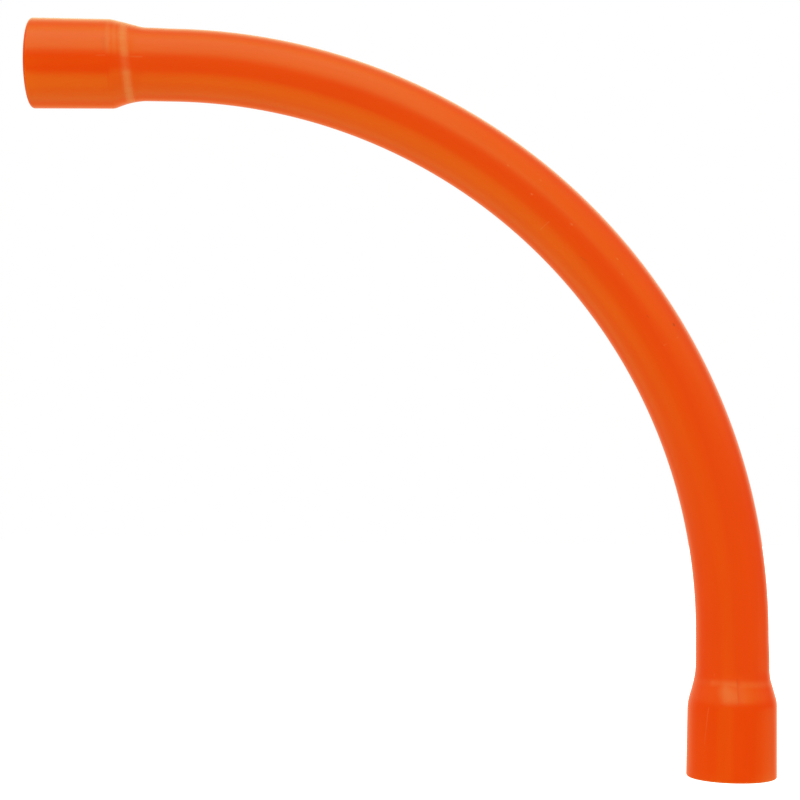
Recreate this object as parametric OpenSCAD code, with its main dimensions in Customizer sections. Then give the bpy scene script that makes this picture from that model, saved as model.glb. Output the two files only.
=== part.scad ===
// Long-radius 90 degree bend of heavy-duty 20 mm rigid conduit, belled at both ends.
//
// The real bend is one length of plastic tube. It is bent hot to a wide sweep, and
// each end is then swelled over a former into a socket that takes the next tube.
// The nodes follow those forming zones: the sweep, and at each end a straight leg
// with its neck and socket. They meet face to face where the tube starts to curve.
//
// The origin is the centre of the lower mouth. +Z runs up the lower leg, and the
// bend turns towards -X, so the upper mouth opens towards -X.

/* [Tube] */
// Outer diameter of the tube, and of the tubes that push into the sockets
tube_od = 20; // [12:0.5:40]
// Wall of the tube
tube_wall = 2.1; // [1:0.1:4]

/* [Bend] */
// Radius of the sweep, to the centre of the tube
bend_radius = 156.5; // [60:0.5:400]
// Angle that the sweep turns through
bend_angle = 90; // [15:1:90]

/* [Legs] */
// From the lower mouth to the start of the sweep
lower_leg = 39.3; // [36:0.1:150]
// From the end of the sweep to the upper mouth
upper_leg = 40.2; // [37:0.1:150]

/* [Sockets] */
// Gap all round between a socket and the tube in it
socket_gap = 0.15; // [0.05:0.05:0.5]
// Wall of a socket
socket_wall = 2.1; // [1.4:0.1:3]
// Depth of the lower socket where it is parallel
lower_depth = 18.4; // [10:0.1:19]
// Depth of the upper socket where it is parallel
upper_depth = 20.5; // [10:0.1:21]
// Rounding of the outer edge of a mouth
lip_r = 0.8; // [0.2:0.1:1]
// Lead-in cut round the inner edge of a mouth
lead_in = 0.4; // [0.2:0.1:0.6]

/* [Necks] */
// Length of the lower neck's cone, before its ends are eased
lower_taper = 7.6; // [5:0.1:9]
// Length of the upper neck's cone, before its ends are eased
upper_taper = 7.2; // [5:0.1:9]
// Radius that eases the neck's wide end, on the outside
shoulder_r = 14; // [4:0.5:18]
// Radius that eases the neck's narrow end, on the outside
root_r = 34; // [8:1:40]

/* [Hidden] */
$fn = 144;
sweep_fn = 432;
arc_steps = 8;
pvc_orange = [0.91, 0.31, 0.05];

// Outside and bore of the tube and of a socket, as radii
tube_r = tube_od / 2;
bore_r = tube_r - tube_wall;
socket_bore_r = tube_r + socket_gap;
socket_r = socket_bore_r + socket_wall;

// Most of a cone's length that its two easing arcs may take up
eased_share = 0.98;

// Points of an arc from the angle a to the angle b
function arc(centre, r, a, b) = [
    for (i = [0:arc_steps])
        let (t = a + (b - a) * i / arc_steps)
        centre + r * [cos(t), sin(t)]
];

// Slope of the neck's cone from the axis
function neck_slope(taper) = atan((socket_r - tube_r) / taper);

// How far an arc of radius r reaches past the corner that it eases
function reach(r, taper) = r * tan(neck_slope(taper) / 2);

// Share of their radii that the cone has room for in its two arcs
function ease(taper) =
    let (cone = taper / cos(neck_slope(taper)))
    min(1, eased_share * cone / reach(shoulder_r + root_r, taper));

// Section through the wall of a leg: X is the radius and Y the distance from the
// mouth. The inner arcs share their centres with the outer ones, so the wall keeps
// its thickness round the neck. The inside of the neck is the next tube's stop.
module leg_section(leg, depth, taper) {
    slope = neck_slope(taper);
    wide_r = ease(taper) * shoulder_r;
    narrow_r = ease(taper) * root_r;
    neck_end = depth + reach(wide_r, taper) + taper + reach(narrow_r, taper);
    shoulder = [socket_r - wide_r, depth];
    root = [tube_r + narrow_r, neck_end];
    polygon(concat(
        arc([socket_r - lip_r, lip_r], lip_r, -90, 0),
        arc(shoulder, wide_r, 0, slope),
        arc(root, narrow_r, 180 + slope, 180),
        [[tube_r, leg], [bore_r, leg]],
        arc(root, narrow_r + tube_wall, 180, 180 + slope),
        arc(shoulder, wide_r - socket_wall, slope, 0),
        [[socket_bore_r, lead_in], [socket_bore_r + lead_in, 0]]
    ));
}

// Places children as the sweep's end is placed, when they are drawn as its start
module turned_through_sweep() {
    translate([-bend_radius, 0, lower_leg])
        rotate([0, -bend_angle, 0])
            translate([bend_radius, 0, 0]) children();
}

// The lower leg, socket down
module lower_socket() {
    color(pvc_orange) rotate_extrude() leg_section(lower_leg, lower_depth, lower_taper);
}

// The plain tube, swept through the bend's angle
module sweep_bend() {
    color(pvc_orange)
        translate([-bend_radius, 0, lower_leg])
            rotate([90, 0, 0])
                rotate_extrude(angle = bend_angle, $fn = sweep_fn)
                    translate([bend_radius, 0]) difference() {
                        circle(tube_r, $fn = 48);
                        circle(bore_r, $fn = 48);
                    }
}

// The upper leg, turned over so that its socket faces away from the sweep
module upper_socket() {
    color(pvc_orange)
        turned_through_sweep()
            translate([0, 0, upper_leg])
                rotate([180, 0, 0])
                    rotate_extrude() leg_section(upper_leg, upper_depth, upper_taper);
}

lower_socket();
sweep_bend();
upper_socket();
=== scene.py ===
"""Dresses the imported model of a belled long-radius conduit bend in Blender.

The straight blank of each forming zone is built in mesh code, as a closed wall
with its bell, neck and lip. One Geometry Nodes tree then bends every blank
round the sweep, as the heated tube is bent round its former.
"""

import math

import bpy
import numpy as np
from bpy.props import FloatProperty, FloatVectorProperty, IntProperty, PointerProperty
from mathutils import Matrix, Vector


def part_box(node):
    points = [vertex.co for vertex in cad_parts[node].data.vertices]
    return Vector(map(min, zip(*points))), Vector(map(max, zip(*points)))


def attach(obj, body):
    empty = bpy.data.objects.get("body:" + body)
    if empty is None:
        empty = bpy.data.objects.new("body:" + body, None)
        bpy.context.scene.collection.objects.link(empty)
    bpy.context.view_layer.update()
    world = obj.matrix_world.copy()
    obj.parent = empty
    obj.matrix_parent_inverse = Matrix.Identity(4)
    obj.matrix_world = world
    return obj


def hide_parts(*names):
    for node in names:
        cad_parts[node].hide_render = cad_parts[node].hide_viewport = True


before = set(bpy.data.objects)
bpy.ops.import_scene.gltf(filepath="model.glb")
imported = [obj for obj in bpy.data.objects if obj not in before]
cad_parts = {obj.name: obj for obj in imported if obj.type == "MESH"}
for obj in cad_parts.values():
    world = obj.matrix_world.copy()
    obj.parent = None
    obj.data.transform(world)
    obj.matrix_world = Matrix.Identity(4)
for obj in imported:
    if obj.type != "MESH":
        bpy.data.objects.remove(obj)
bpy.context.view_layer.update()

bl_info = {
    "name": "Belled Conduit Bend",
    "version": (1, 0, 0),
    "blender": (4, 5, 0),
    "location": "View3D > Sidebar > Conduit Bend",
    "description": "Builds a long-radius conduit bend with a belled socket at each end",
    "category": "Object",
}

BODY = "root"
SENSOR_WIDTH = 36.0
MM = 0.001

LOWER_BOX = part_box("lower_socket")
SWEEP_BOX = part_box("sweep_bend")
UPPER_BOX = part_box("upper_socket")
TUBE_RADIUS = SWEEP_BOX[1].x
BEND_RADIUS = -UPPER_BOX[1].x
LOWER_LEG = LOWER_BOX[1].z - LOWER_BOX[0].z
UPPER_LEG = UPPER_BOX[1].x - UPPER_BOX[0].x
SOCKET_RADIUS = (LOWER_BOX[1].y - LOWER_BOX[0].y) / 2

# Rows of vertices in each part of a blank's wall
LIP_ROWS = 8
SOCKET_ROWS = 6
NECK_ARC_ROWS = 14
TUBE_ROWS = 4
SWEEP_ROWS = 112

# How the blanks were formed
EASED_SHARE = 0.98
LEDGE_WIDTH = 1.1 * MM
SWELL_FROM = 25 * MM
SWELL_RISE = 4 * MM
SWELL_FALL = 7 * MM
SKEW_REACH = 8 * MM
WAVE_LENGTH = 30 * MM
CREASE_ANGLE = math.radians(30)

# Names of the attributes that carry a vertex's place on the straight blank, and
# its distance from the mouth
BLANK = "blank"
FROM_MOUTH = "from_mouth"

# Marks of the photographed bend, in millimetres. Places are on the straight blank:
# x points to the outside of the bend, -y to the front and z along the tube.
# A ring is a painted highlight: a pale band where the neck's curve reflects the light. It
# is its distance from the mouth, half width, slant and strength at the outside and
# at the inside of the bend.
LOWER_HIGHLIGHT_RINGS = [(26.5, 1.6, 0.02, 0.28, 0.12), (23.4, 3.0, 0.0, 0.10, 0.03)]
UPPER_HIGHLIGHT_RINGS = [
    (27.3, 1.9, 0.10, 1.0, 1.0), (24.7, 1.0, 0.06, 0.34, 0.0),
    (23.0, 1.2, 0.06, 0.34, 0.0),
]
# A mark is its start, end, width, strength and the x that it stops at
NO_BORDER = 100
LOWER_SCRATCHES = [
    ((-8.50, -8.80, 19.94), (-9.34, -7.90, 9.85), 0.26, 0.36, NO_BORDER),
    ((-6.60, -7.51, 29.01), (-6.59, -7.50, 27.97), 0.28, 0.45, NO_BORDER),
    ((-4.40, -10.1, 24.60), (-2.00, -11.2, 23.20), 3.2, 0.30, -1.1),
    ((-7.00, -7.60, 26.60), (-1.60, -10.4, 26.60), 1.4, 0.30, -1.1),
]
LOWER_DARK = [
    ((-1.00, -10.2, 27.80), (-0.90, -11.1, 24.54), 0.55, 0.09, NO_BORDER),
    ((-0.90, -11.1, 24.54), (-1.30, -12.1, 21.20), 0.55, 0.07, NO_BORDER),
]
SWEEP_SCRATCHES = [
    ((3.97, -9.18, 178.44), (3.90, -9.20, 178.2), 0.50, 0.32, NO_BORDER),
    ((-0.79, -9.96, 177.89), (-0.79, -9.96, 177.6), 0.38, 0.62, NO_BORDER),
    ((1.42, -9.89, 187.80), (1.42, -9.89, 187.6), 0.34, 0.48, NO_BORDER),
    ((0.54, -9.97, 164.20), (0.54, -9.97, 163.9), 0.45, 0.60, NO_BORDER),
    ((3.55, -9.34, 148.92), (3.55, -9.34, 148.7), 0.38, 0.60, NO_BORDER),
    ((1.83, -9.82, 144.86), (1.83, -9.82, 144.7), 0.34, 0.45, NO_BORDER),
    ((0.34, -9.99, 122.38), (5.24, -8.52, 122.37), 0.30, 0.40, NO_BORDER),
    ((-6.05, -7.95, 169.34), (-3.28, -9.44, 169.11), 0.30, 0.40, NO_BORDER),
]
SWEEP_DARK = [
    ((6.11, -7.91, 125.85), (6.11, -7.91, 125.6), 0.60, 0.58, NO_BORDER),
    ((-3.76, -9.25, 155.73), (-3.34, -9.42, 153.96), 0.28, 0.18, NO_BORDER),
    ((0.70, -9.97, 131.74), (0.85, -9.95, 131.06), 0.30, 0.22, NO_BORDER),
]
UPPER_SCRATCHES = [
    ((1.80, -9.82, 276.32), (1.80, -9.82, 276.1), 0.50, 0.85, NO_BORDER),
    ((-0.48, -12.2, 305.20), (-0.40, -12.2, 303.2), 0.30, 0.30, NO_BORDER),
    ((-0.20, -10.4, 298.00), (-0.07, -10.0, 293.4), 0.40, 0.35, NO_BORDER),
]
UPPER_DARK = [
    ((-1.84, -9.82, 266.60), (-6.59, -7.51, 266.23), 0.80, 0.06, NO_BORDER),
    ((1.70, -12.1, 303.40), (4.00, -11.6, 303.60), 1.6, 0.07, NO_BORDER),
]


def length(name, description, default):
    """A size in metres, shown as a length."""
    return FloatProperty(
        name=name, description=description, default=default, min=0.0, max=1.0,
        precision=5, subtype="DISTANCE", unit="LENGTH",
    )


def brightness(name, description, default):
    """A level of light, where 1 is white."""
    return FloatProperty(
        name=name, description=description, default=default, min=0.0, max=20.0,
    )


class TubeSizes(bpy.types.PropertyGroup):
    """Sizes that the whole bend shares."""

    tube_radius: length("Tube Radius", "Outside radius of the tube", TUBE_RADIUS)
    tube_wall: length("Tube Wall", "Wall of the tube", 2.1 * MM)
    bend_radius: length("Bend Radius", "Radius of the sweep's centre line", BEND_RADIUS)
    bend_angle: FloatProperty(
        name="Bend Angle", description="Angle that the sweep turns through",
        default=math.radians(90), min=0.1, max=math.pi, subtype="ANGLE",
    )
    lower_leg: length("Lower Leg", "From the lower mouth to the sweep", LOWER_LEG)
    upper_leg: length("Upper Leg", "From the sweep to the upper mouth", UPPER_LEG)
    flattening: FloatProperty(
        name="Flattening", description="Share that the sweep is squeezed in its own plane",
        default=0.002, min=0.0, max=0.1, subtype="FACTOR",
    )
    waviness: length("Waviness", "Unevenness that the heat leaves in the wall", 0.012 * MM)
    columns: IntProperty(
        name="Columns", description="Faces round the tube", default=144, min=24, max=360,
    )


# Sizes of a socket: label, description, lower socket and upper socket. Outer is the
# long side of the bend.
SOCKET_LENGTHS = {
    "socket_radius": ("Socket Radius", "Outside radius of the socket",
                      SOCKET_RADIUS, SOCKET_RADIUS),
    "socket_wall": ("Socket Wall", "Wall of the socket", 2.1 * MM, 2.1 * MM),
    "lip_radius": ("Lip Radius", "Rounding of the mouth's outer edge", 0.6 * MM, 1.0 * MM),
    "lead_in": ("Lead-in", "Chamfer of the mouth's inner edge", 0.4 * MM, 0.4 * MM),
    "shoulder_outer": ("Shoulder Outer", "Easing of the neck's wide end, outer side",
                       9 * MM, 7 * MM),
    "shoulder_inner": ("Shoulder Inner", "Easing of the neck's wide end, inner side",
                       14 * MM, 3 * MM),
    "root_outer": ("Root Outer", "Easing of the neck's narrow end, outer side",
                   10 * MM, 9 * MM),
    "root_inner": ("Root Inner", "Easing of the neck's narrow end, inner side",
                   24 * MM, 20 * MM),
    "corner_outer": ("Corner Outer", "Mouth to the neck, outer side", 21.1 * MM, 22.6 * MM),
    "corner_inner": ("Corner Inner", "Mouth to the neck, inner side", 20.2 * MM, 23.5 * MM),
    "taper_outer": ("Taper Outer", "Length of the cone, outer side", 7.2 * MM, 8.87 * MM),
    "taper_inner": ("Taper Inner", "Length of the cone, inner side", 8.0 * MM, 5.59 * MM),
    "ledge": ("Ledge", "Height of the step that the former left", 0.0, 0.3 * MM),
    "ledge_place": ("Ledge Place", "Mouth to that step", 26.8 * MM, 26.8 * MM),
    "swell": ("Swell", "Swelling of the tube beside the neck, outer side",
              0.22 * MM, 0.15 * MM),
    "mouth_flare": ("Mouth Flare", "Widening towards the mouth, inner side",
                    0.34 * MM, 0.34 * MM),
    "mouth_skew": ("Mouth Skew", "How far the mouth's cut leans back at the rear",
                   0.0, 0.9 * MM),
}


def socket_lengths(which):
    """The properties of the lower socket, 0, or of the upper one, 1."""
    return {
        key: length(label, description, values[which])
        for key, (label, description, *values) in SOCKET_LENGTHS.items()
    }


class LowerSocketSizes(bpy.types.PropertyGroup):
    """Sizes of the lower belled socket."""

    __annotations__ = socket_lengths(0)


class UpperSocketSizes(bpy.types.PropertyGroup):
    """Sizes of the upper belled socket."""

    __annotations__ = socket_lengths(1)


class FinishSettings(bpy.types.PropertyGroup):
    """Colours and surface of the plastic."""

    orange: FloatVectorProperty(
        name="Orange", description="Body colour of the plastic",
        default=(0.95, 0.063, 0.0006), size=3, min=0.0, max=1.0, subtype="COLOR",
    )
    # Pale colour of the scratches, and of the painted highlight rings round the necks
    scratch_white_and_highlight: FloatVectorProperty(
        name="Whitened", description="Colour of the plastic where forming stretched it",
        default=(0.95, 0.180, 0.042), size=3, min=0.0, max=1.0, subtype="COLOR",
    )
    deep_orange: FloatVectorProperty(
        name="Deep Orange", description="Body colour where the pigment lies thicker",
        default=(0.93, 0.057, 0.0005), size=3, min=0.0, max=1.0, subtype="COLOR",
    )
    speck: FloatVectorProperty(
        name="Speck", description="Colour of a burnt speck in the plastic",
        default=(0.35, 0.03, 0.01), size=3, min=0.0, max=1.0, subtype="COLOR",
    )
    peel_height: length("Peel Height", "Height of the fine grain", 0.002 * MM)
    streak_height: length("Streak Height", "Height of the long die streaks", 0.006 * MM)
    scratch_depth: length("Scratch Depth", "Depth of a scratch", 0.02 * MM)
    tube_roughness: FloatProperty(
        name="Tube Roughness", description="Roughness of the drawn tube",
        default=0.23, min=0.0, max=1.0, subtype="FACTOR",
    )
    socket_roughness: FloatProperty(
        name="Socket Roughness", description="Roughness of the sockets",
        default=0.17, min=0.0, max=1.0, subtype="FACTOR",
    )


class StudioSettings(bpy.types.PropertyGroup):
    """Stage, lights and camera."""

    floor_drop: length("Floor Drop", "Gap between the lower mouth and the floor", 250 * MM)
    high_light: brightness("High Light", "Even light from above", 1.0)
    low_light: brightness("Low Light", "Even light from below", 0.98)
    upper_panel: brightness("Upper Panel", "Overhead panel in the gloss", 2.6)
    low_backdrop: brightness("Low Backdrop", "Foot of the backdrop in the gloss", 0.52)
    high_backdrop: brightness("High Backdrop", "Top of the backdrop in the gloss", 0.80)
    strip: brightness("Strip", "Low strip at the front left in the gloss", 0.50)
    bounce: brightness("Bounce", "Light thrown back by the table, in the gloss", 0.6)
    table_gloss: brightness("Table Gloss", "Table below in the gloss", 1.4)
    floor_glow: brightness("Floor Glow", "Paleness of the floor under the part", 0.45)
    key_level: brightness("Key Level", "Lamp that casts the shadow", 0.06)
    focal_length: FloatProperty(
        name="Focal Length", description="Lens of the camera in millimetres",
        default=80.71, min=10.0, max=300.0,
    )


# ------------------------------------------------------------------- blanks


def around(columns):
    """Angles round the blank, from the outer side of the bend."""
    return np.arange(columns) * (2 * math.pi / columns)


def across(outer, inner, angles):
    """A value that goes smoothly from the outer side to the inner one."""
    return (outer + inner) / 2 + (outer - inner) / 2 * np.cos(angles)


def arc_rows(place, radius, turn, angles, rows):
    """Rows of an arc: distance from the mouth and distance from the axis."""
    centre_s, centre_r = place
    steps = np.linspace(angles[0], angles[1], rows)
    return [
        (centre_s + turn * radius * np.sin(a), centre_r + turn * radius * np.cos(a))
        for a in steps
    ]


def neck_rows(tube, socket, angles):
    """Rows down the outside and the inside of a neck, from its wide end.

    The inner arcs share their centres with the outer ones, so the wall keeps
    its thickness round the neck.
    """
    corner = across(socket.corner_outer, socket.corner_inner, angles)
    shoulder_radius = across(socket.shoulder_outer, socket.shoulder_inner, angles)
    root_radius = across(socket.root_outer, socket.root_inner, angles)
    taper = across(socket.taper_outer, socket.taper_inner, angles)
    slope = np.arctan((socket.socket_radius - tube.tube_radius) / taper)
    half = np.tan(slope / 2)
    room = EASED_SHARE * taper / np.cos(slope)
    ease = np.minimum(1.0, room / (half * (shoulder_radius + root_radius)))
    wide = ease * shoulder_radius
    narrow = ease * root_radius
    shoulder = (corner - half * wide, socket.socket_radius - wide)
    root = (corner + taper + half * narrow, tube.tube_radius + narrow)
    nothing = np.zeros_like(slope)
    down = (nothing, slope)
    up = (slope, nothing)
    outside = arc_rows(shoulder, wide, 1, down, NECK_ARC_ROWS)
    outside += arc_rows(root, narrow, -1, up, NECK_ARC_ROWS)
    inside = arc_rows(shoulder, wide - socket.socket_wall, 1, down, NECK_ARC_ROWS)
    inside += arc_rows(root, narrow + tube.tube_wall, -1, up, NECK_ARC_ROWS)
    return outside, inside


def ledged(rows, socket, angles):
    """Raises the step that the former left on the outer side of the neck."""
    side = np.clip(np.cos(angles), 0, 1) ** 1.5
    raised = []
    for s, r in rows:
        near = np.exp(-(((s - socket.ledge_place) / LEDGE_WIDTH) ** 2))
        raised.append((s, r + socket.ledge * near * side))
    return raised


def flared(rows, socket, angles):
    """Widens the socket towards its mouth, on the inner side."""
    side = np.clip(-np.cos(angles), 0, 1)
    return [
        (s, r + socket.mouth_flare * side * np.clip(1 - s / socket.corner_inner, 0, 1))
        for s, r in rows
    ]


def swelled(rows, socket, leg, angles):
    """Swells the tube between the neck and the sweep, on the outer side."""
    side = np.clip(np.cos(angles), 0, 1)
    raised = []
    for s, r in rows:
        near = np.clip((leg - s) / SWELL_FALL, 0, 1)
        near = near * np.clip((s - SWELL_FROM) / SWELL_RISE, 0, 1)
        raised.append((s, r + socket.swell * side * near * near * (3 - 2 * near)))
    return raised


def straight_rows(s_from, s_to, radius, rows):
    """Rows along a straight wall, without its two ends."""
    shares = np.linspace(0, 1, rows + 2)[1:-1]
    return [(s_from + (s_to - s_from) * t, radius) for t in shares]


def leg_wall(tube, socket, leg, angles):
    """Rows round the whole wall of a leg, as a closed loop."""
    bore = socket.socket_radius - socket.socket_wall
    tube_bore = tube.tube_radius - tube.tube_wall
    one = np.ones_like(angles)
    lip = socket.lip_radius
    rows = []
    for a in np.linspace(-math.pi / 2, 0, LIP_ROWS):
        radius = socket.socket_radius - lip + lip * math.cos(a)
        rows.append((lip * (1 + math.sin(a)) * one, radius * one))
    outside, inside = neck_rows(tube, socket, angles)
    outside = ledged(outside, socket, angles)
    outside += straight_rows(outside[-1][0], leg * one, tube.tube_radius * one, TUBE_ROWS)
    rows += straight_rows(
        lip * one, outside[0][0], socket.socket_radius * one, SOCKET_ROWS
    )
    rows += swelled(outside, socket, leg, angles)
    rows.append((leg * one, tube.tube_radius * one))
    rows.append((leg * one, tube_bore * one))
    rows += straight_rows(leg * one, inside[-1][0], tube_bore * one, TUBE_ROWS)
    rows += reversed(inside)
    rows += straight_rows(inside[0][0], socket.lead_in * one, bore * one, SOCKET_ROWS)
    rows.append((socket.lead_in * one, bore * one))
    rows.append((0 * one, (bore + socket.lead_in) * one))
    rows = flared(rows, socket, angles)
    lean = socket.mouth_skew * (1 + np.sin(angles)) / 2
    return [(s + lean * np.clip(1 - s / SKEW_REACH, 0, 1), r) for s, r in rows]


def sweep_wall(tube, angles):
    """Rows round the wall of the tube that becomes the sweep."""
    one = np.ones_like(angles)
    start = tube.lower_leg
    end = start + tube.bend_radius * tube.bend_angle
    stations = np.linspace(start, end, SWEEP_ROWS + 1)
    bore = tube.tube_radius - tube.tube_wall
    rows = [(s * one, tube.tube_radius * one) for s in stations]
    rows += [(s * one, bore * one) for s in reversed(stations)]
    return rows


def blank_mesh(name, rows, angles, along):
    """A closed wall turned round the Z axis; along turns a row into heights."""
    count = len(angles)
    cos, sin = np.cos(angles), np.sin(angles)
    points, mouths = [], []
    for s, r in rows:
        points.append(np.stack([r * cos, r * sin, along(s)], axis=1))
        mouths.append(s)
    points = np.concatenate(points)
    faces = []
    for k in range(len(rows)):
        here, there = k * count, (k + 1) % len(rows) * count
        for j in range(count):
            beside = (j + 1) % count
            faces.append((here + j, here + beside, there + beside, there + j))
    mesh = bpy.data.meshes.new(name)
    mesh.from_pydata(points.tolist(), [], faces)
    mesh.attributes.new(BLANK, "FLOAT_VECTOR", "POINT").data.foreach_set(
        "vector", points.astype(np.float32).ravel()
    )
    mesh.attributes.new(FROM_MOUTH, "FLOAT", "POINT").data.foreach_set(
        "value", np.concatenate(mouths).astype(np.float32)
    )
    face_outwards(mesh)
    mesh.shade_smooth()
    return mesh


def face_outwards(mesh):
    """Turns the faces over if the closed wall came out inside out."""
    mesh.calc_loop_triangles()
    corners = np.empty(len(mesh.vertices) * 3)
    mesh.vertices.foreach_get("co", corners)
    corners = corners.reshape(-1, 3)
    tris = np.empty(len(mesh.loop_triangles) * 3, int)
    mesh.loop_triangles.foreach_get("vertices", tris)
    a, b, c = (corners[tris.reshape(-1, 3)[:, i]] for i in range(3))
    if np.einsum("ij,ij->i", a, np.cross(b, c)).sum() < 0:
        mesh.flip_normals()


# -------------------------------------------------------------- node helpers


def wire(tree, source, target):
    """Links a node or socket to a socket."""
    if isinstance(source, bpy.types.Node):
        source = source.outputs[0]
    tree.links.new(source, target)


def math_node(tree, operation, *values, clamp=False):
    """A Math node whose inputs are numbers, nodes or sockets."""
    made = tree.nodes.new("ShaderNodeMath")
    made.operation = operation
    made.use_clamp = clamp
    for socket, value in zip(made.inputs, values):
        if isinstance(value, (int, float)):
            socket.default_value = value
        else:
            wire(tree, value, socket)
    return made.outputs[0]


def add_input(tree, name, kind, default=None, subtype=None):
    """A named input of a node group."""
    socket = tree.interface.new_socket(name=name, in_out="INPUT", socket_type=kind)
    if subtype:
        socket.subtype = subtype
    if default is not None:
        socket.default_value = default
    return socket


def add_output(tree, name, kind):
    """A named output of a node group."""
    return tree.interface.new_socket(name=name, in_out="OUTPUT", socket_type=kind)


def ramp(tree, value, low, high, floor=0.0, top=1.0):
    """A smooth step of a value from floor to top."""
    made = tree.nodes.new("ShaderNodeMapRange")
    made.interpolation_type = "SMOOTHSTEP"
    wire(tree, value, made.inputs["Value"])
    for name, number in (
        ("From Min", low), ("From Max", high), ("To Min", floor), ("To Max", top),
    ):
        if isinstance(number, bpy.types.NodeSocket):
            wire(tree, number, made.inputs[name])
        else:
            made.inputs[name].default_value = number
    return made.outputs["Result"]


def vector_node(tree, operation, *values, result="Vector"):
    """The result of a vector operation on plain triples and node outputs."""
    made = tree.nodes.new("ShaderNodeVectorMath")
    made.operation = operation
    for place, value in enumerate(values):
        if isinstance(value, tuple):
            made.inputs[place].default_value = value
        else:
            wire(tree, value, made.inputs[place])
    return made.outputs[result]


def dotted(tree, first, second):
    """The dot product of two vectors."""
    return vector_node(tree, "DOT_PRODUCT", first, second, result="Value")


def noise(tree, place, scales, detail):
    """Smooth noise, with its own scale along each axis."""
    made = tree.nodes.new("ShaderNodeTexNoise")
    made.inputs["Scale"].default_value = 1.0
    made.inputs["Detail"].default_value = detail
    wire(tree, vector_node(tree, "MULTIPLY", place, scales), made.inputs["Vector"])
    return made.outputs["Fac"]


def socket_named(sockets, identifier):
    """The socket with an identifier, where several share a name."""
    return next(socket for socket in sockets if socket.identifier == identifier)


def facing(tree, direction, towards):
    """How far a direction points the given way, from -1 to 1."""
    return dotted(tree, direction, tuple(Vector(towards).normalized()))


# ---------------------------------------------------------------- bend tree


def bend_tree():
    """Geometry Nodes that bend a straight blank round the sweep."""
    tree = bpy.data.node_groups.new("bend_round_former", "GeometryNodeTree")
    add_input(tree, "Blank", "NodeSocketGeometry")
    add_input(tree, "Tube Radius", "NodeSocketFloat", TUBE_RADIUS, "DISTANCE")
    add_input(tree, "Bend Radius", "NodeSocketFloat", BEND_RADIUS, "DISTANCE")
    add_input(tree, "Bend Angle", "NodeSocketFloat", math.pi / 2, "ANGLE")
    add_input(tree, "Bend Start", "NodeSocketFloat", LOWER_LEG, "DISTANCE")
    add_input(tree, "Flattening", "NodeSocketFloat", 0.0, "FACTOR")
    add_input(tree, "Waviness", "NodeSocketFloat", 0.0, "DISTANCE")
    add_input(tree, "Wave Length", "NodeSocketFloat", WAVE_LENGTH, "DISTANCE")
    add_input(tree, "Crease Angle", "NodeSocketFloat", CREASE_ANGLE, "ANGLE")
    add_input(tree, "Plastic", "NodeSocketMaterial")
    add_output(tree, "Bend", "NodeSocketGeometry")
    given = tree.nodes.new("NodeGroupInput").outputs
    place = tree.nodes.new("GeometryNodeInputPosition")
    parts = tree.nodes.new("ShaderNodeSeparateXYZ")
    wire(tree, place, parts.inputs[0])
    x, y, z = parts.outputs

    run = math_node(tree, "SUBTRACT", z, given["Bend Start"])
    turn = math_node(tree, "DIVIDE", run, given["Bend Radius"])
    turn = math_node(tree, "MAXIMUM", turn, 0.0)
    turn = math_node(tree, "MINIMUM", turn, given["Bend Angle"])
    past = math_node(tree, "MULTIPLY", turn, given["Bend Radius"])
    past = math_node(tree, "SUBTRACT", run, past)
    share = math_node(tree, "DIVIDE", turn, given["Bend Angle"])
    share = math_node(tree, "MULTIPLY", share, math.pi)
    squeeze = math_node(tree, "SINE", share)
    squeeze = math_node(tree, "MULTIPLY", squeeze, given["Flattening"])

    wave = tree.nodes.new("ShaderNodeTexNoise")
    pitch = math_node(tree, "DIVIDE", 1.0, given["Wave Length"])
    wire(tree, place, wave.inputs["Vector"])
    wire(tree, pitch, wave.inputs["Scale"])
    wave.inputs["Detail"].default_value = 1.0
    lift = math_node(tree, "SUBTRACT", wave.outputs[0], 1.0)
    lift = math_node(tree, "MULTIPLY", lift, given["Waviness"])
    lift = math_node(tree, "DIVIDE", lift, given["Tube Radius"])

    wide_x = math_node(tree, "SUBTRACT", lift, squeeze)
    wide_x = math_node(tree, "ADD", wide_x, 1.0)
    wide_y = math_node(tree, "ADD", lift, squeeze)
    wide_y = math_node(tree, "ADD", wide_y, 1.0)
    x = math_node(tree, "MULTIPLY", x, wide_x)
    y = math_node(tree, "MULTIPLY", y, wide_y)

    arm = math_node(tree, "ADD", x, given["Bend Radius"])
    cosine = math_node(tree, "COSINE", turn)
    sine = math_node(tree, "SINE", turn)
    new_x = math_node(tree, "MULTIPLY", arm, cosine)
    new_x = math_node(tree, "SUBTRACT", new_x, given["Bend Radius"])
    new_x = math_node(tree, "SUBTRACT", new_x, math_node(tree, "MULTIPLY", past, sine))
    new_z = math_node(tree, "MULTIPLY", arm, sine)
    new_z = math_node(tree, "ADD", new_z, given["Bend Start"])
    new_z = math_node(tree, "ADD", new_z, math_node(tree, "MULTIPLY", past, cosine))
    bent = tree.nodes.new("ShaderNodeCombineXYZ")
    for value, socket in zip((new_x, y, new_z), bent.inputs):
        wire(tree, value, socket)

    move = tree.nodes.new("GeometryNodeSetPosition")
    wire(tree, given["Blank"], move.inputs["Geometry"])
    wire(tree, bent, move.inputs["Position"])
    edge = tree.nodes.new("GeometryNodeInputMeshEdgeAngle")
    sharp = math_node(tree, "GREATER_THAN", edge.outputs[0], given["Crease Angle"])
    crease = tree.nodes.new("GeometryNodeSetShadeSmooth")
    crease.domain = "EDGE"
    crease.inputs["Shade Smooth"].default_value = False
    wire(tree, move, crease.inputs["Geometry"])
    wire(tree, sharp, crease.inputs["Selection"])
    real = tree.nodes.new("GeometryNodeRealizeInstances")
    wire(tree, crease, real.inputs[0])
    paint = tree.nodes.new("GeometryNodeSetMaterial")
    wire(tree, real, paint.inputs["Geometry"])
    wire(tree, given["Plastic"], paint.inputs["Material"])
    done = tree.nodes.new("NodeGroupOutput")
    wire(tree, paint, done.inputs[0])
    return tree


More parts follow.
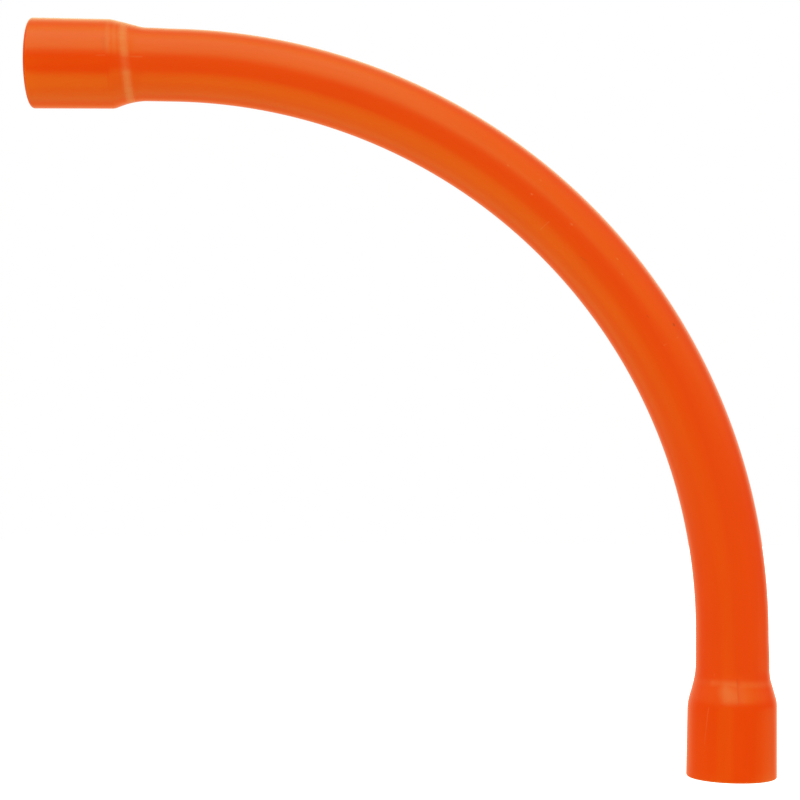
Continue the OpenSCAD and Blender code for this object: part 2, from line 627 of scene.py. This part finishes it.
def bend_blank(name, mesh, material, tube, nodes):
    """Bends a blank, makes the result a plain mesh and rides it on its body."""
    tree = bpy.data.node_groups.get("bend_round_former") or bend_tree()
    piece = bpy.data.objects.new(name, mesh)
    bpy.context.scene.collection.objects.link(piece)
    former = piece.modifiers.new("Bend", "NODES")
    former.node_group = tree
    values = {
        "Tube Radius": tube.tube_radius,
        "Bend Radius": tube.bend_radius,
        "Bend Angle": tube.bend_angle,
        "Bend Start": tube.lower_leg,
        "Flattening": tube.flattening,
        "Waviness": tube.waviness,
        "Plastic": material,
    }
    for item in tree.interface.items_tree:
        if item.in_out == "INPUT" and item.name in values:
            former[item.identifier] = values[item.name]
    bpy.context.view_layer.update()
    graph = bpy.context.evaluated_depsgraph_get()
    bent = bpy.data.meshes.new_from_object(
        piece.evaluated_get(graph), preserve_all_data_layers=True, depsgraph=graph
    )
    if len(bent.polygons) != len(mesh.polygons):
        raise RuntimeError(f"{name}: the bend lost faces")
    piece.modifiers.remove(former)
    piece.data = bent
    bent.name = name
    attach(piece, BODY)
    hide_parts(*nodes)


# ------------------------------------------------------------------ plastic

# Specular Tint: what the gloss keeps of each colour where it is seen head on
GLOSS_TINT = (0.30, 1.0, 0.24, 1.0)

# Noise of the skin: how many finer layers it has, and its scales along the blank's
# x, y and z, in waves per metre
FINE_DETAIL = 3
SOFT_DETAIL = 2
PEEL_SCALES = (1700, 1700, 1300)
STREAK_SCALES = (700, 700, 14)
CLOUD_SCALES = (110, 110, 45)
WOBBLE_SCALES = (160, 160, 40)
RING_STREAK_SCALES = (900, 900, 90)

# Keeps a speck, whose start is its end, from a division by zero
NEVER_ZERO = 1e-12

# Ramps of a painted highlight ring: over x where its strength turns from foot to
# top, over its streaks, and over the distance from the x where it is faint
RING_TURN = (-1.5 * MM, 3.0 * MM)
RING_STREAKS = (0.3, 0.7, 0.8, 1.05)
RING_FAINT_PLACE = -1.9 * MM
RING_FAINT = (1.0 * MM, 2.6 * MM, 0.4, 1.0)

# Share of streaks in the variation of the colour, and the range that it shows in
STREAK_SHARE = 0.5
VARIATION = (0.45, 1.05)
# Distance from the mouth over which the socket's roughness becomes the tube's
ROUGHNESS_TURN = (22 * MM, 29 * MM)
PEEL_ROUGHNESS = 0.06
RING_ROUGHNESS = 0.12


def shader_group(name, inputs, outputs):
    """An empty shader node group, with its input and output sockets."""
    tree = bpy.data.node_groups.new(name, "ShaderNodeTree")
    for given in inputs:
        add_input(tree, *given)
    for output in outputs:
        add_output(tree, output, "NodeSocketFloat")
    return (
        tree,
        tree.nodes.new("NodeGroupInput").outputs,
        tree.nodes.new("NodeGroupOutput").inputs,
    )


def mark_group():
    """A straight scratch from one place of the blank to another, or a speck."""
    tree, given, result = shader_group(
        "plastic_mark",
        [("Place", "NodeSocketVector"), ("Start", "NodeSocketVector"),
         ("End", "NodeSocketVector"), ("Width", "NodeSocketFloat", 0.0003),
         ("Border", "NodeSocketFloat", 1.0)],
        ["Mark"],
    )
    along = vector_node(tree, "SUBTRACT", given["End"], given["Start"])
    away = vector_node(tree, "SUBTRACT", given["Place"], given["Start"])
    run = math_node(tree, "ADD", dotted(tree, along, along), NEVER_ZERO)
    share = math_node(tree, "DIVIDE", dotted(tree, away, along), run, clamp=True)
    nearest = vector_node(tree, "MULTIPLY", along, share)
    gap = vector_node(tree, "DISTANCE", away, nearest, result="Value")
    inside = math_node(
        tree, "LESS_THAN", dotted(tree, given["Place"], (1, 0, 0)), given["Border"]
    )
    mark = ramp(tree, gap, 0.0, given["Width"], 1.0, 0.0)
    wire(tree, math_node(tree, "MULTIPLY", mark, inside), result["Mark"])
    return tree


def highlight_ring_group():
    """A painted highlight: a pale ring round a neck, where its curve reflects the light."""
    tree, given, result = shader_group(
        "painted_highlight_ring",
        [("Place", "NodeSocketVector"), ("From Mouth", "NodeSocketFloat"),
         ("Centre", "NodeSocketFloat", 0.026), ("Half Width", "NodeSocketFloat", 0.0013),
         ("Slant", "NodeSocketFloat", 0.0), ("Wobble", "NodeSocketFloat", 0.0004),
         ("Top Share", "NodeSocketFloat", 1.0), ("Foot Share", "NodeSocketFloat", 1.0)],
        ["Ring"],
    )
    outward = dotted(tree, given["Place"], (1, 0, 0))
    wobble = noise(tree, given["Place"], WOBBLE_SCALES, SOFT_DETAIL)
    wobble = math_node(tree, "SUBTRACT", wobble, 0.5)
    wobble = math_node(tree, "MULTIPLY", wobble, given["Wobble"])
    reached = math_node(
        tree, "ADD", given["From Mouth"],
        math_node(tree, "MULTIPLY_ADD", outward, given["Slant"], wobble),
    )
    gap = math_node(tree, "ABSOLUTE", math_node(tree, "SUBTRACT", reached, given["Centre"]))
    ring = ramp(tree, gap, 0.0, given["Half Width"], 1.0, 0.0)
    share = ramp(tree, outward, *RING_TURN, given["Foot Share"], given["Top Share"])
    streaks = noise(tree, given["Place"], RING_STREAK_SCALES, SOFT_DETAIL)
    share = math_node(tree, "MULTIPLY", share, ramp(tree, streaks, *RING_STREAKS))
    middle = math_node(tree, "SUBTRACT", outward, RING_FAINT_PLACE)
    middle = math_node(tree, "ABSOLUTE", middle)
    share = math_node(tree, "MULTIPLY", share, ramp(tree, middle, *RING_FAINT))
    wire(tree, math_node(tree, "MULTIPLY", ring, share), result["Ring"])
    return tree


def skin_group():
    """Grain of the drawn plastic: fine peel, long die streaks and slow clouds."""
    tree, given, result = shader_group(
        "drawn_skin", [("Place", "NodeSocketVector")], ["Peel", "Streaks", "Clouds"]
    )
    wire(tree, noise(tree, given["Place"], PEEL_SCALES, FINE_DETAIL), result["Peel"])
    wire(tree, noise(tree, given["Place"], STREAK_SCALES, FINE_DETAIL), result["Streaks"])
    wire(tree, noise(tree, given["Place"], CLOUD_SCALES, SOFT_DETAIL), result["Clouds"])
    return tree


def group_node(tree, name, build, **values):
    """A group's node in a material; the group is built on first use.

    Underscores in the names of its inputs stand for spaces.
    """
    made = tree.nodes.new("ShaderNodeGroup")
    made.node_tree = bpy.data.node_groups.get(name) or build()
    for key, value in values.items():
        socket = made.inputs[key.replace("_", " ")]
        if isinstance(value, bpy.types.NodeSocket):
            wire(tree, value, socket)
        else:
            socket.default_value = value
    return made.outputs


def blended(tree, share, first, second):
    """A mix of two colours, given as colours or as sockets."""
    made = tree.nodes.new("ShaderNodeMix")
    made.data_type = "RGBA"
    wire(tree, share, socket_named(made.inputs, "Factor_Float"))
    for name, colour in (("A_Color", first), ("B_Color", second)):
        socket = socket_named(made.inputs, name)
        if isinstance(colour, bpy.types.NodeSocket):
            wire(tree, colour, socket)
        else:
            socket.default_value = (*colour, 1)
    return socket_named(made.outputs, "Result_Color")


def strongest(tree, masks):
    """The strongest of several masks."""
    result = masks[0]
    for mask in masks[1:]:
        result = math_node(tree, "MAXIMUM", result, mask)
    return result


def carried(tree, name, output):
    """An attribute that the mesh carries."""
    made = tree.nodes.new("ShaderNodeAttribute")
    made.attribute_name = name
    return made.outputs[output]


def highlight_ring_mask(tree, place, from_mouth, rings):
    """Where any of the painted highlight rings shows."""
    return strongest(tree, [
        group_node(
            tree, "painted_highlight_ring", highlight_ring_group, Place=place, From_Mouth=from_mouth,
            Centre=centre * MM, Half_Width=half_width * MM, Slant=slant,
            Top_Share=top_share, Foot_Share=foot_share,
        )["Ring"]
        for centre, half_width, slant, top_share, foot_share in rings
    ])


def mark_mask(tree, place, marks):
    """Where any of the scratches or specks shows."""
    masks = []
    for start, end, width, strength, border in marks:
        mark = group_node(
            tree, "plastic_mark", mark_group, Place=place, Start=Vector(start) * MM,
            End=Vector(end) * MM, Width=width * MM, Border=border * MM,
        )["Mark"]
        masks.append(math_node(tree, "MULTIPLY", mark, strength))
    return strongest(tree, masks)


def plastic(name, finish, rings, scratches, specks):
    """Orange plastic of one piece, with its own painted highlight rings, scratches and
    specks.
    """
    made = bpy.data.materials.new(name)
    made.use_nodes = True
    tree = made.node_tree
    surface = tree.nodes["Principled BSDF"]
    surface.inputs["Specular Tint"].default_value = GLOSS_TINT
    place = carried(tree, BLANK, "Vector")
    from_mouth = carried(tree, FROM_MOUTH, "Fac")

    skin = group_node(tree, "drawn_skin", skin_group, Place=place)
    variation = math_node(
        tree, "MULTIPLY_ADD", skin["Streaks"], STREAK_SHARE, skin["Clouds"]
    )
    shade = ramp(tree, variation, *VARIATION)
    colour = blended(tree, shade, finish.orange, finish.deep_orange)
    roughness = ramp(
        tree, from_mouth, *ROUGHNESS_TURN, finish.socket_roughness, finish.tube_roughness
    )
    roughness = math_node(
        tree, "MULTIPLY_ADD", skin["Peel"], PEEL_ROUGHNESS, roughness
    )
    roughness = math_node(tree, "SUBTRACT", roughness, PEEL_ROUGHNESS / 2)
    if rings:
        # The rings paint a highlight into the colour: pale bands where the necks reflect
        # the light.
        pale = highlight_ring_mask(tree, place, from_mouth, rings)
        colour = blended(tree, pale, colour, finish.scratch_white_and_highlight)
        roughness = math_node(tree, "MULTIPLY_ADD", pale, RING_ROUGHNESS, roughness)
    scored = mark_mask(tree, place, scratches)
    colour = blended(tree, scored, colour, finish.scratch_white_and_highlight)
    dark = mark_mask(tree, place, specks)
    colour = blended(tree, dark, colour, finish.speck)
    wire(tree, colour, surface.inputs["Base Color"])
    wire(tree, roughness, surface.inputs["Roughness"])

    height = math_node(tree, "MULTIPLY", skin["Peel"], finish.peel_height)
    height = math_node(
        tree, "MULTIPLY_ADD", skin["Streaks"], finish.streak_height, height
    )
    height = math_node(tree, "MULTIPLY_ADD", scored, -finish.scratch_depth, height)
    bump = tree.nodes.new("ShaderNodeBump")
    bump.inputs["Distance"].default_value = 1.0
    wire(tree, height, bump.inputs["Height"])
    wire(tree, bump.outputs["Normal"], surface.inputs["Normal"])
    return made


# ---------------------------------------------------------------- operators


class CONDUIT_OT_lower_socket(bpy.types.Operator):
    """Form the lower leg with its neck and socket"""

    bl_idname = "conduit.lower_socket"
    bl_label = "Lower Socket"

    def execute(self, context):
        tube = context.scene.conduit_tube
        socket = context.scene.conduit_lower
        angles = around(tube.columns)
        rows = leg_wall(tube, socket, tube.lower_leg, angles)
        mesh = blank_mesh("lower_blank", rows, angles, lambda s: s)
        material = plastic(
            "lower_bell_plastic", context.scene.conduit_finish,
            LOWER_HIGHLIGHT_RINGS, LOWER_SCRATCHES, LOWER_DARK,
        )
        bend_blank("lower_bell", mesh, material, tube, ["lower_socket"])
        return {"FINISHED"}


class CONDUIT_OT_sweep(bpy.types.Operator):
    """Bend the plain tube round the sweep"""

    bl_idname = "conduit.sweep"
    bl_label = "Sweep"

    def execute(self, context):
        tube = context.scene.conduit_tube
        angles = around(tube.columns)
        mesh = blank_mesh("sweep_blank", sweep_wall(tube, angles), angles, lambda s: s)
        material = plastic(
            "swept_tube_plastic", context.scene.conduit_finish,
            [], SWEEP_SCRATCHES, SWEEP_DARK,
        )
        bend_blank("swept_tube", mesh, material, tube, ["sweep_bend"])
        return {"FINISHED"}


class CONDUIT_OT_upper_socket(bpy.types.Operator):
    """Form the upper leg with its neck and socket"""

    bl_idname = "conduit.upper_socket"
    bl_label = "Upper Socket"

    def execute(self, context):
        tube = context.scene.conduit_tube
        socket = context.scene.conduit_upper
        angles = around(tube.columns)
        rows = leg_wall(tube, socket, tube.upper_leg, angles)
        end = tube.lower_leg + tube.bend_radius * tube.bend_angle + tube.upper_leg
        mesh = blank_mesh("upper_blank", rows, angles, lambda s: end - s)
        material = plastic(
            "upper_bell_plastic", context.scene.conduit_finish,
            UPPER_HIGHLIGHT_RINGS, UPPER_SCRATCHES, UPPER_DARK,
        )
        bend_blank("upper_bell", mesh, material, tube, ["upper_socket"])
        return {"FINISHED"}


# -------------------------------------------------------------------- stage

# Parts of the studio that only the gloss shows. A mask follows an axis of the
# direction, which runs from -1 to 1: its low and high end, and the values there.
BACKDROP_MASKS = [("behind", 0.27, 0.9, 0.0, 1.0), ("right", -0.6, 0.6, 0.95, 1.38)]
COOL_MASKS = [("height", -0.6, 0.1, 0.0, 1.0), ("right", -0.8, -0.3, 0.8, 1.0)]
WARM_MASKS = [("height", -0.6, 0.3, 1.0, 0.0)]
UPPER_MASKS = [
    ("right", 0.25, 0.5, 1.0, 0.58), ("right", 0.5, 0.8, 1.0, 0.55),
    ("behind", -0.42, 0.35, 1.0, 0.22), ("behind", -0.96, -0.8, 0.45, 1.0),
    ("right", -0.75, -0.45, 0.0, 1.0),
]
UPPER_FRONT_MASKS = [("behind", -0.5, 0.0, 1.0, 0.0), ("right", 0.1, 0.6, 1.0, 0.05)]
SIDE_MASKS = [("height", 0.1, 0.4, 0.0, 1.0), ("right", -0.75, -0.45, 0.9, 0.0)]
TABLE_MASKS = [("behind", 0.3, 0.8, 1.0, 0.0), ("right", -0.97, -0.70, 0.4, 1.0)]

# Low and high end of the ramp that each part's level follows
BACKDROP_HEIGHTS = (-0.3, 0.6)
UPPER_HEIGHTS = (0.12, 0.45)
STRIP_FACING = (0.90, 0.985)
TABLE_FACING = (0.42, 0.78)
BOUNCE_FACING = (0.84, 0.98)

# Directions that the parts lie in, and the one that the even light comes from
STRIP_WAY = (-0.48, -0.87, -0.12)
TABLE_WAYS = [(-0.45, 0, -0.9), (0.45, 0, -0.9)]
BOUNCE_WAY = (-0.42, -0.5, -0.75)
EVEN_WAY = (-0.3, 0, 1)

# Colours of the parts, against the gloss's own tint, and of the empty studio
BACKDROP_COLOUR = (1.0, 0.94, 0.27)
COOL_COLOUR = (0.0, 0.0, 0.42)
WARM_COLOUR = (0.6, 0.0, 0.0)
UPPER_COLOUR = (0.05, 1.0, 0.44)
UPPER_FRONT_COLOUR = (0.0, 0.0, 0.80)
SIDE_COLOUR = (0.3, 0.65, 0.5)
TABLE_COLOUR = (0.2, 1.0, 0.38)
STRIP_COLOUR = (0.0, 1.0, 0.1)
BOUNCE_COLOUR = (0.1, 1.0, 0.24)
EMPTY_COLOUR = (0.35, 0.08, 0.02)

KEY_PLACE = Vector((-0.25, -0.15, 0.9))
KEY_AIM = Vector((-0.1, 0, 0))
KEY_SIZE = (0.9, 0.7)

FLOOR_REACH = 9.0
FLOOR_COLOUR = (0.8, 0.8, 0.8, 1)
FLOOR_ROUGHNESS = 0.9
WHITE = (1, 1, 1, 1)
# Point under the part, and the distances from it between which the floor pales
FLOOR_MIDDLE = (-0.1, 0)
FLOOR_PALES = (0.4, 1.2)

# The camera of the photograph, fitted to the part's outline
CAMERA_PLACE = Vector((-113.78, -496.41, 80.95)) * MM
CAMERA_TILT = -0.0446
CAMERA_ROLL = 0.0116
CAMERA_PAN = 0.0418
CLIP_START = 0.01
CLIP_END = 50.0


def key_panel(studio):
    """A soft overhead panel; level 1 looks white in a mirror."""
    data = bpy.data.lights.new("key_panel", "AREA")
    data.shape = "RECTANGLE"
    data.size, data.size_y = KEY_SIZE
    data.energy = studio.key_level * math.pi * data.size * data.size_y
    lamp = bpy.data.objects.new("key_panel", data)
    bpy.context.scene.collection.objects.link(lamp)
    turn = (KEY_PLACE - KEY_AIM).to_track_quat("Z", "Y").to_matrix()
    lamp.matrix_world = Matrix.Translation(KEY_PLACE) @ turn.to_4x4()
    lamp.visible_camera = False
    lamp.visible_glossy = False


def masked(tree, axes, level, masks):
    """A level times its masks."""
    for axis, low, high, floor, top in masks:
        mask = ramp(tree, axes[axis], low, high, floor, top)
        level = math_node(tree, "MULTIPLY", level, mask)
    return level


def gloss_parts(tree, direction, studio):
    """What the gloss shows: each part's level in a direction, and its colour."""
    axes = {
        "height": facing(tree, direction, (0, 0, 1)),
        "right": facing(tree, direction, (1, 0, 0)),
        "behind": facing(tree, direction, (0, 1, 0)),
    }
    backdrop = ramp(
        tree, axes["height"], *BACKDROP_HEIGHTS, studio.low_backdrop, studio.high_backdrop
    )
    backdrop = masked(tree, axes, backdrop, BACKDROP_MASKS)
    upper = ramp(tree, axes["height"], *UPPER_HEIGHTS, 0.0, studio.upper_panel)
    upper = masked(tree, axes, upper, UPPER_MASKS)
    below = strongest(tree, [facing(tree, direction, way) for way in TABLE_WAYS])
    table = ramp(tree, below, *TABLE_FACING, 0.0, studio.table_gloss)
    strip = facing(tree, direction, STRIP_WAY)
    bounce = facing(tree, direction, BOUNCE_WAY)
    return [
        (backdrop, BACKDROP_COLOUR),
        (masked(tree, axes, backdrop, COOL_MASKS), COOL_COLOUR),
        (masked(tree, axes, backdrop, WARM_MASKS), WARM_COLOUR),
        (upper, UPPER_COLOUR),
        (masked(tree, axes, upper, UPPER_FRONT_MASKS), UPPER_FRONT_COLOUR),
        (masked(tree, axes, 1.0, SIDE_MASKS), SIDE_COLOUR),
        (masked(tree, axes, table, TABLE_MASKS), TABLE_COLOUR),
        (ramp(tree, strip, *STRIP_FACING, 0.0, studio.strip), STRIP_COLOUR),
        (ramp(tree, bounce, *BOUNCE_FACING, 0.0, studio.bounce), BOUNCE_COLOUR),
    ]


def studio_world(studio):
    """White for the camera, even light on the part, and soft panels in its gloss."""
    world = bpy.data.worlds.new("studio")
    bpy.context.scene.world = world
    world.use_nodes = True
    world.cycles.sampling_method = "NONE"
    tree = world.node_tree
    paths = tree.nodes.new("ShaderNodeLightPath").outputs
    direction = tree.nodes.new("ShaderNodeTexCoord").outputs["Generated"]
    gloss = EMPTY_COLOUR
    for level, colour in gloss_parts(tree, direction, studio):
        gloss = vector_node(tree, "MULTIPLY_ADD", level, colour, gloss)
    above = facing(tree, direction, EVEN_WAY)
    even = ramp(tree, above, -1, 1, studio.low_light, studio.high_light)
    mixed = tree.nodes.new("ShaderNodeMix")
    mixed.data_type = "VECTOR"
    wire(tree, paths["Is Glossy Ray"], socket_named(mixed.inputs, "Factor_Float"))
    wire(tree, even, socket_named(mixed.inputs, "A_Vector"))
    wire(tree, gloss, socket_named(mixed.inputs, "B_Vector"))
    light = socket_named(mixed.outputs, "Result_Vector")
    seen = strongest(tree, [paths["Is Camera Ray"], paths["Is Transmission Ray"]])
    light = vector_node(tree, "MAXIMUM", light, seen)
    wire(tree, light, tree.nodes["Background"].inputs["Color"])


def studio_floor(studio):
    """A plain pale floor, so far down that no shadow shows in the photograph."""
    drop = -studio.floor_drop
    sides = [(-1, -1), (1, -1), (1, 1), (-1, 1)]
    corners = [(x * FLOOR_REACH, y * FLOOR_REACH, drop) for x, y in sides]
    mesh = bpy.data.meshes.new("floor")
    mesh.from_pydata(corners, [], [(0, 1, 2, 3)])
    floor = bpy.data.objects.new("floor", mesh)
    floor.visible_glossy = False
    bpy.context.scene.collection.objects.link(floor)
    material = bpy.data.materials.new("pale_floor")
    material.use_nodes = True
    tree = material.node_tree
    surface = tree.nodes["Principled BSDF"]
    surface.inputs["Base Color"].default_value = FLOOR_COLOUR
    surface.inputs["Roughness"].default_value = FLOOR_ROUGHNESS
    surface.inputs["Specular IOR Level"].default_value = 0.0
    surface.inputs["Emission Color"].default_value = WHITE
    coords = tree.nodes.new("ShaderNodeTexCoord").outputs["Object"]
    paths = tree.nodes.new("ShaderNodeLightPath").outputs
    away = vector_node(tree, "DISTANCE", coords, (*FLOOR_MIDDLE, drop), result="Value")
    glow = ramp(tree, away, *FLOOR_PALES, studio.floor_glow, 1.0)
    glow = math_node(tree, "MULTIPLY", glow, paths["Is Camera Ray"])
    wire(tree, glow, surface.inputs["Emission Strength"])
    mesh.materials.append(material)


def studio_camera(studio):
    """The camera, where the photograph's outlines put it."""
    pan = Matrix.Rotation(CAMERA_PAN, 3, "Z")
    roll = Matrix.Rotation(CAMERA_ROLL, 3, "Y")
    tilt = Matrix.Rotation(CAMERA_TILT, 3, "X")
    right, forward, up = pan @ roll @ tilt
    data = bpy.data.cameras.new("camera")
    data.sensor_width = SENSOR_WIDTH
    data.lens = studio.focal_length
    data.clip_start = CLIP_START
    data.clip_end = CLIP_END
    camera = bpy.data.objects.new("camera", data)
    bpy.context.scene.collection.objects.link(camera)
    axes = Matrix((right, up, -forward)).transposed()
    camera.matrix_world = Matrix.Translation(CAMERA_PLACE) @ axes.to_4x4()
    bpy.context.scene.camera = camera


class CONDUIT_OT_studio(bpy.types.Operator):
    """Set up the floor, the lights and the camera"""

    bl_idname = "conduit.studio"
    bl_label = "Studio"

    def execute(self, context):
        studio = context.scene.conduit_studio
        studio_world(studio)
        studio_floor(studio)
        key_panel(studio)
        studio_camera(studio)
        context.scene.view_settings.view_transform = "Standard"
        return {"FINISHED"}


class CONDUIT_PT_bend(bpy.types.Panel):
    """Sizes, finish and studio of the conduit bend"""

    bl_idname = "CONDUIT_PT_bend"
    bl_label = "Conduit Bend"
    bl_space_type = "VIEW_3D"
    bl_region_type = "UI"
    bl_category = "Conduit Bend"

    def draw(self, context):
        for name, title, _ in SETTINGS:
            box = self.layout.box()
            box.label(text=title)
            settings = getattr(context.scene, name)
            for key in settings.bl_rna.properties.keys():
                if key not in ("rna_type", "name"):
                    box.prop(settings, key)
        for operator in OPERATORS:
            self.layout.operator(operator.bl_idname)


SETTINGS = (
    ("conduit_tube", "Tube", TubeSizes),
    ("conduit_lower", "Lower Socket", LowerSocketSizes),
    ("conduit_upper", "Upper Socket", UpperSocketSizes),
    ("conduit_finish", "Plastic", FinishSettings),
    ("conduit_studio", "Studio", StudioSettings),
)
OPERATORS = (
    CONDUIT_OT_studio,
    CONDUIT_OT_lower_socket,
    CONDUIT_OT_sweep,
    CONDUIT_OT_upper_socket,
)
CLASSES = (*(kind for _, _, kind in SETTINGS), *OPERATORS, CONDUIT_PT_bend)


def register():
    """Adds the classes and the scene's settings."""
    for cls in CLASSES:
        bpy.utils.register_class(cls)
    for name, _, kind in SETTINGS:
        setattr(bpy.types.Scene, name, PointerProperty(type=kind))


def unregister():
    """Takes the scene's settings and the classes away again."""
    for name, _, _ in SETTINGS:
        delattr(bpy.types.Scene, name)
    for cls in reversed(CLASSES):
        bpy.utils.unregister_class(cls)


def main():
    """Builds the stage and the pieces in order."""
    register()
    bpy.ops.conduit.studio()
    bpy.ops.conduit.lower_socket()
    bpy.ops.conduit.sweep()
    bpy.ops.conduit.upper_socket()


if __name__ == "__main__":
    main()
